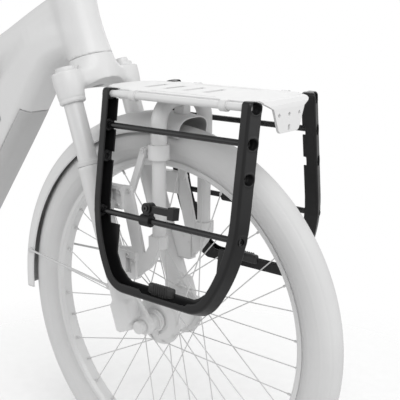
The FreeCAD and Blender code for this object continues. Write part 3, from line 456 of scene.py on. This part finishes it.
def crown_field(x, y, z):
    """Fork crown: boss under the head tube, arched arms and two sockets, run together."""
    fore, s = fork_frame(x, z)
    boss = np.hypot(fore, y) - (41.0 + 0.4 * np.clip((SEAM_S - s) / 18, 0, 1))
    boss = np.maximum(boss, np.maximum(442 - s, s - 487.7))
    lift = s - (455 - 13 * (np.abs(y) / LEG_Y) ** 2)
    arm = rounded_box(fore - 3, y, lift, 23, 74, 15, 11)
    body = blend_union(boss, arm, 24.0)
    side = np.hypot(fore - 4, np.abs(y) - LEG_Y)
    radius = 26.0 - 2.8 * np.clip((446 - s) / 38, 0, 1) - 0.7 * np.exp(-((s - 416) / 1.2) ** 2)
    lobe = round_intersection(side - radius, np.abs(s - 436.5) - 28.5, 3.0)
    dome = np.hypot(side, s - 418) - 54.5
    lobe = round_intersection(lobe, dome, 4.0)
    body = blend_union(body, lobe, 7.0)
    slot = rounded_box(fore - 8, np.abs(y) - 49, s - 466, 2.4, 5.5, 9, 1)
    body = np.maximum(body, -slot)
    bore = np.maximum(side - SOCKET_BORE, s - 466)
    body = np.maximum(body, -bore)
    return np.maximum(body, 12.0 - np.hypot(fore, y))


def leg_field(x, y, z):
    """Right lower leg: long tube, foot with a bevelled corner, web, axle lug and stay eye."""
    fore, s = fork_frame(x, z)
    side = np.hypot(fore - 4, y + LEG_Y)
    radius = 21.0 + 0.8 * np.exp(-((s - 290) / 6) ** 2)
    tube = np.maximum(side - radius, np.maximum(-2 - s, s - 296))
    foot = rounded_box(fore - 5, y + LEG_Y + 0.8, s - 24, 22.5, 19.5, 27, 6)
    foot = round_intersection(foot, (fore - 12) * 0.5 - (s - 5) * 0.866, 2.5)
    body = blend_union(tube, foot, 6.0)
    t = np.clip(((fore - 8) * 26 - (s - 40) * 40) / (26 ** 2 + 40 ** 2), 0, 1)
    web = np.hypot(fore - 8 - 26 * t, s - 40 + 40 * t) - (26 - 9 * t)
    web = round_intersection(web, np.abs(y + 64.5) - 4.0, 1.5)
    body = blend_union(body, web, 2.5)
    lug = round_intersection(np.hypot(x, z) - 16.5, np.abs(y + 66.5) - 7.5, 1.5)
    body = blend_union(body, lug, 2.0)
    eye = np.maximum(np.hypot(x + 72, z - 60) - 6, np.abs(y + 77) - 5)
    body = blend_union(body, eye, 5.0)
    bore = np.maximum(side - SOCKET_BORE, 60 - s)
    return np.maximum(body, -bore)


def mirrored(obj, name):
    """Copy of a mesh object on the other side of the middle plane."""
    mesh = obj.data.copy()
    mesh.name = name
    count = len(mesh.vertices)
    points = np.empty(count * 3)
    mesh.vertices.foreach_get("co", points)
    points[1::3] *= -1
    mesh.vertices.foreach_set("co", points)
    mesh.flip_normals()
    mesh.update()
    twin = bpy.data.objects.new(name, mesh)
    bpy.context.collection.objects.link(twin)
    return twin


skin = level_surface("frame_skin", skin_field, (-602, -46, 84), (-130, 46, 610), 2.6, PAINT)
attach(skin, "frame")
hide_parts("head_tube", "top_tube", "down_tube")
panel = level_surface("battery_panel", panel_field, (-602, -46, 84), (-320, 46, 370), 2.2, COVER)
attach(panel, "frame")
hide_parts("battery_cover")
crown = level_surface("crown_surface", crown_field, (-226, -104, 370), (-108, 104, 478), 1.5, PAINT)
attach(crown, "steering")
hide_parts("fork_crown", "lower_headset_cover")
leg = level_surface("lower_leg_surface_right", leg_field, (-170, -98, -30), (20, -48, 302), 1.7, PAINT)
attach(leg, "fork_lower")
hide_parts("lower_leg_right")
twin = mirrored(leg, "lower_leg_surface_left")
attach(twin, "fork_lower")
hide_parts("lower_leg_left")

def axle_field(x, y, z):
    """Through axle: shaft, round head with a soft rim and a groove behind it."""
    r = np.hypot(x, z)
    shaft = round_intersection(r - 7.4, np.abs(y - 4.5) - 78.5, 1.0)
    head = round_intersection(r - 11.5 + 1.3 * np.exp(-((y + 77.0) / 0.9) ** 2), np.abs(y + 81.0) - 7.0, 2.6)
    head = blend_union(head, round_intersection(r - 8.0, np.abs(y + 85.2) - 3.4, 1.5), 1.5)
    return np.minimum(shaft, head)


def spacer_field(x, y, z):
    """Right hub spacer: grooved sleeve, two steps up to the hub and a small cable plug."""
    r = np.hypot(x, z)
    grooves = sum(0.9 * np.exp(-((y - at) / 0.8) ** 2) for at in (-56.0, -52.5, -48.5))
    sleeve = round_intersection(r - 13.4 + grooves, np.abs(y + 51.5) - 7.4, 1.0)
    step = round_intersection(r - 17.2, np.abs(y + 43.5) - 3.4, 1.0)
    rim = round_intersection(r - 20.0, np.abs(y + 40.2) - 2.9, 1.2)
    plug = rounded_box(x, y + 42, z + 21, 7.6, 3.0, 6.8, 1.5)
    body = np.minimum(np.minimum(sleeve, step), rim)
    return np.maximum(blend_union(body, plug, 2.0), AXLE_BORE - r)


def left_spacer_field(x, y, z):
    """Left hub spacer: plain sleeve with one groove."""
    r = np.hypot(x, z)
    sleeve = round_intersection(r - 13.0 + 0.8 * np.exp(-((y - 50) / 0.9) ** 2), np.abs(y - 51.1) - 7.6, 1.0)
    return np.maximum(sleeve, AXLE_BORE - r)


axle = level_surface("axle_surface", axle_field, (-13, -90, -13), (13, 85, 13), 0.8, ALLOY)
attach(axle, "fork_lower")
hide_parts("thru_axle")
spacer = level_surface("hub_spacer_surface_right", spacer_field, (-22, -61, -30), (22, -36, 22), 0.7, ALLOY)
spacer_left = level_surface("hub_spacer_surface_left", left_spacer_field, (-15, 42, -15), (15, 60, 15),
                            0.8, ALLOY)
for piece in (spacer, spacer_left):
    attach(piece, "fork_lower")
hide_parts("hub_spacers")


# ---------------------------------------------------------------- side frames, millimetres

FRAME_L = 300.0
FRAME_X0 = -67.5
FRAME_Y = 93.0
FRAME_Z = 412.0
SPLAY = math.radians(8.0)
CHANNEL_DEEP = 23.0
WALL_SLOPE = 0.94
HOLE_U = 12.0
HOLE_R = 7.6
BOSS_R = 10.1
HOLES = [-7.4, -59.4, -111.4]
LOWER_ROD_Z = -204.5


def bow_inset(x, z):
    """Distance inward from the U-shaped outer line of a side frame.

    Each half is a straight upright, a big arc of radius 258 through 32 degrees, a corner
    arc of radius 50 and the flat bottom.
    """
    x = np.minimum(x, FRAME_L - x)
    drop = np.maximum(-171.0 - z, 0)
    big = 258 - np.hypot(258 - x, drop)
    corner = 50 - np.hypot(np.minimum(x - 81.6, 0), np.minimum(z + 281.2, 0))
    angle = np.arctan2(drop, 258 - x)
    inside_corner = np.minimum(corner, np.where(x > 81.6, z + 331.2, 1e9))
    return np.where(z > -171, x, np.where(angle < math.radians(32), big, inside_corner))


def polygon_field(x, z, points):
    """Distance to a polygon in the XZ plane, negative inside."""
    best = np.full(x.shape, 1e9)
    inside = np.zeros(x.shape, bool)
    for (x0, z0), (x1, z1) in zip(points, points[1:] + points[:1]):
        ex, ez = x1 - x0, z1 - z0
        t = np.clip(((x - x0) * ex + (z - z0) * ez) / (ex * ex + ez * ez), 0, 1)
        best = np.minimum(best, np.hypot(x - x0 - t * ex, z - z0 - t * ez))
        if z0 != z1:
            cross = ((z0 > z) != (z1 > z)) & (x < ex * (z - z0) / (z1 - z0) + x0)
            inside ^= cross
    return np.where(inside, -best, best)


def channel_field(x, u, z):
    """Moulded U-shaped channel, open toward its middle, flared inboard.

    Skin 2.4 mm, outer edges rounded to 3 mm, top corners to 7 mm, with sockets for the
    rods, notches behind them, a rib along the floor, corner gussets and a low place in
    the outboard flange beside the pad.
    """
    e = bow_inset(x, z)
    wall = e + 7.5 * u / 20.6
    slab = np.abs(u - CHANNEL_DEEP / 2) - CHANNEL_DEEP / 2
    outside = -wall * WALL_SLOPE
    shell = round_intersection(outside, slab, 3.2)
    shell = round_intersection(shell, z - 2.0, 6.0)
    room = round_intersection(-(wall - 2.5), np.abs(u - 11.5) - 9.0, 1.5)
    room = np.maximum(room, z + 0.6)
    low_place = np.clip((51 - np.abs(x - 169)) / 5, 0, 1) * (z < -280)
    lip = np.where(u < 11.5, 14.5 - 5.0 * low_place, 18.0)
    core = e - lip
    flanges = round_intersection(shell, core, 1.1)
    floor_rib = np.maximum(np.abs(u - 10.5) - 0.9, wall - 6.0)
    floor_rib = np.maximum(floor_rib, z + 262)
    floor_rib = np.maximum(floor_rib, shell)
    body = np.minimum(np.maximum(flanges, -room), floor_rib)
    half_x = np.minimum(x, FRAME_L - x)
    plate = polygon_field(half_x, z, [(6, -224), (45, -224), (45, -272), (58, -296), (74, -309),
                                      (84, -314), (84, -324), (60, -318), (30, -290), (12, -250)])
    plate = np.maximum(plate, np.abs(u - 21.8) - 1.2)
    body = np.minimum(body, np.maximum(plate, outside))
    for height in HOLES + [LOWER_ROD_Z]:
        away = np.hypot(u - HOLE_U, z - height)
        boss = np.maximum(away - BOSS_R, np.maximum(half_x - 12.0, shell))
        body = blend_union(body, boss, 1.5)
        notch = np.maximum(np.abs(u - 21.6) - 3.0, np.abs(z - height) - 7.0)
        notch = np.maximum(notch, 12.2 - half_x)
        if height != LOWER_ROD_Z:
            body = np.maximum(body, -notch)
            mouth = np.maximum(away - HOLE_R - 0.8 * np.clip((x - 298.5) / 2, 0, 1), 293.0 - x)
            body = np.maximum(body, -mouth)
        radius = 6.0 if height == HOLES[0] else 5.0
        bore = np.maximum(away - radius, np.maximum(7.0 - x, x - 293.0))
        if height != HOLES[2]:
            body = np.maximum(body, -bore)
        else:
            body = np.maximum(body, -np.maximum(away - radius, np.abs(x - 150) - 143.0))
    for end in (-1.6, FRAME_L + 1.6):
        sink = np.hypot(u - HOLE_U, z - LOWER_ROD_Z) - (6.1 - np.abs(x - end) * 0.74)
        body = np.maximum(body, -np.maximum(sink, np.abs(x - end) - 5.0))
    return body


def seat_side_frame(obj):
    """Tilt a mesh made in side-frame coordinates and move it to the right side."""
    count = len(obj.data.vertices)
    points = np.empty(count * 3)
    obj.data.vertices.foreach_get("co", points)
    points = points.reshape(-1, 3) * 1000
    x, u, z = points.T
    seated = np.stack([x + FRAME_X0, u * math.cos(SPLAY) + z * math.sin(SPLAY) - FRAME_Y,
                       -u * math.sin(SPLAY) + z * math.cos(SPLAY) + FRAME_Z], 1) / 1000
    obj.data.vertices.foreach_set("co", seated.ravel())
    obj.data.update()


def pad_field(x, u, z):
    """Ribbed rubber pad: rounded block with ribs across its outboard face."""
    block = rounded_box(x - 150, u - 21.0, z + 314.5, 27, 5.6, 8.6, 4.5)
    rib_x = (x - 150) - 4.6 * np.clip(np.round((x - 150) / 4.6), -3, 3)
    rib = rounded_box(rib_x, u - 18.5, z + 314.8, 1.3, 5.0, 9.4, 1.2)
    return blend_union(block, rib, 1.2)


channel = level_surface("side_frame_surface_right", channel_field, (-10, -1.5, -334), (310, 25, 4),
                        1.15, NYLON)
seat_side_frame(channel)
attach(channel, "fork_lower")
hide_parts("side_frame_right")
channel_left = mirrored(channel, "side_frame_surface_left")
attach(channel_left, "fork_lower")
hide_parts("side_frame_left")
pad = level_surface("pad_surface_right", pad_field, (118, 12, -328), (182, 30, -300), 0.6, DARK)
seat_side_frame(pad)
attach(pad, "fork_lower")
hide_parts("pad_right")
pad_left = mirrored(pad, "pad_surface_left")
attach(pad_left, "fork_lower")
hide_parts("pad_left")

# ---------------------------------------------------------------- floor, light, camera

def floor_material():
    """Pale floor that fades to the white surround away from the wheel."""
    mat, tree, shader = new_material("pale floor")
    coords = tree.nodes.new("ShaderNodeTexCoord").outputs["Object"]
    fine = noise(tree, coords, 30.0, 3.0)
    tree.links.new(ramp(tree, fine, (0.90, 0.90, 0.90), (0.93, 0.93, 0.93)), shader.inputs["Base Color"])
    shader.inputs["Roughness"].default_value = 0.8
    grad = tree.nodes.new("ShaderNodeTexGradient")
    grad.gradient_type = "SPHERICAL"
    mapping = tree.nodes.new("ShaderNodeMapping")
    mapping.inputs["Scale"].default_value = (0.9, 0.9, 0.9)
    tree.links.new(coords, mapping.inputs["Vector"])
    tree.links.new(mapping.outputs["Vector"], grad.inputs["Vector"])
    clear = tree.nodes.new("ShaderNodeBsdfTransparent")
    mix = tree.nodes.new("ShaderNodeMixShader")
    fade = ramp(tree, grad.outputs["Fac"], (0, 0, 0), (1, 1, 1), 0.02, 0.6)
    tree.links.new(fade, mix.inputs["Fac"])
    tree.links.new(clear.outputs["BSDF"], mix.inputs[1])
    tree.links.new(shader.outputs["BSDF"], mix.inputs[2])
    out = [n for n in tree.nodes if n.type == "OUTPUT_MATERIAL"][0]
    tree.links.new(mix.outputs["Shader"], out.inputs["Surface"])
    return mat


def round_floor():
    """Flat disc under the tyre, as rings of points about the middle."""
    r = np.linspace(0.001, 1.25, 24)
    t = np.linspace(0, 2 * math.pi, 97)[:-1]
    rr, tt = np.meshgrid(r, t, indexing="ij")
    grid = np.stack([rr * np.cos(tt), rr * np.sin(tt), np.full_like(rr, 0.0)], -1)
    obj = surface("floor", grid, floor_material(), close_v=True, flip=False)
    obj.location = (0, 0, GROUND - 0.0005)
    return obj


round_floor()


def area_light(name, place, target, size, power):
    """Square soft box aimed at a point."""
    data = bpy.data.lights.new(name, "AREA")
    data.shape = "SQUARE"
    data.size = size
    data.energy = power
    obj = bpy.data.objects.new(name, data)
    obj.location = place
    obj.rotation_euler = (Vector(target) - Vector(place)).to_track_quat("-Z", "Y").to_euler()
    bpy.context.collection.objects.link(obj)
    return obj


area_light("key", (1.6, -1.2, 2.4), (0, 0, 0.2), 2.2, 44)
area_light("fill", (-1.8, -2.0, 0.9), (0, 0, 0.2), 2.4, 14)
area_light("front", (2.6, 0.9, 0.9), (0, 0, 0.2), 1.8, 18)
area_light("back", (-1.2, 2.0, 1.6), (0, 0, 0.3), 1.6, 14)


def white_world():
    """White to the camera and to transmission rays, a plainer grey as light."""
    world = bpy.data.worlds.new("studio")
    bpy.context.scene.world = world
    world.use_nodes = True
    tree = world.node_tree
    tree.nodes.clear()
    out = tree.nodes.new("ShaderNodeOutputWorld")
    light = tree.nodes.new("ShaderNodeBackground")
    light.inputs["Color"].default_value = (1, 1, 1, 1)
    light.inputs["Strength"].default_value = 0.62
    seen = tree.nodes.new("ShaderNodeBackground")
    seen.inputs["Color"].default_value = (1, 1, 1, 1)
    seen.inputs["Strength"].default_value = 1.0
    path = tree.nodes.new("ShaderNodeLightPath")
    most = tree.nodes.new("ShaderNodeMath")
    most.operation = "MAXIMUM"
    tree.links.new(path.outputs["Is Camera Ray"], most.inputs[0])
    tree.links.new(path.outputs["Is Transmission Ray"], most.inputs[1])
    mix = tree.nodes.new("ShaderNodeMixShader")
    tree.links.new(most.outputs[0], mix.inputs["Fac"])
    tree.links.new(light.outputs["Background"], mix.inputs[1])
    tree.links.new(seen.outputs["Background"], mix.inputs[2])
    tree.links.new(mix.outputs["Shader"], out.inputs["Surface"])


white_world()

camera = bpy.data.objects.new("camera", bpy.data.cameras.new("camera"))
camera.location = (0.9099, -1.0471, 0.5624)
aim = Vector((0.01517, 0, 0.19949)) - Vector(camera.location)
camera.rotation_euler = aim.to_track_quat("-Z", "Y").to_euler()
camera.data.lens = 73.46
camera.data.sensor_width = 36.0
camera.data.shift_x = 0.0585
camera.data.shift_y = 0.023
bpy.context.collection.objects.link(camera)
bpy.context.scene.camera = camera
bpy.context.scene.view_settings.view_transform = "Standard"
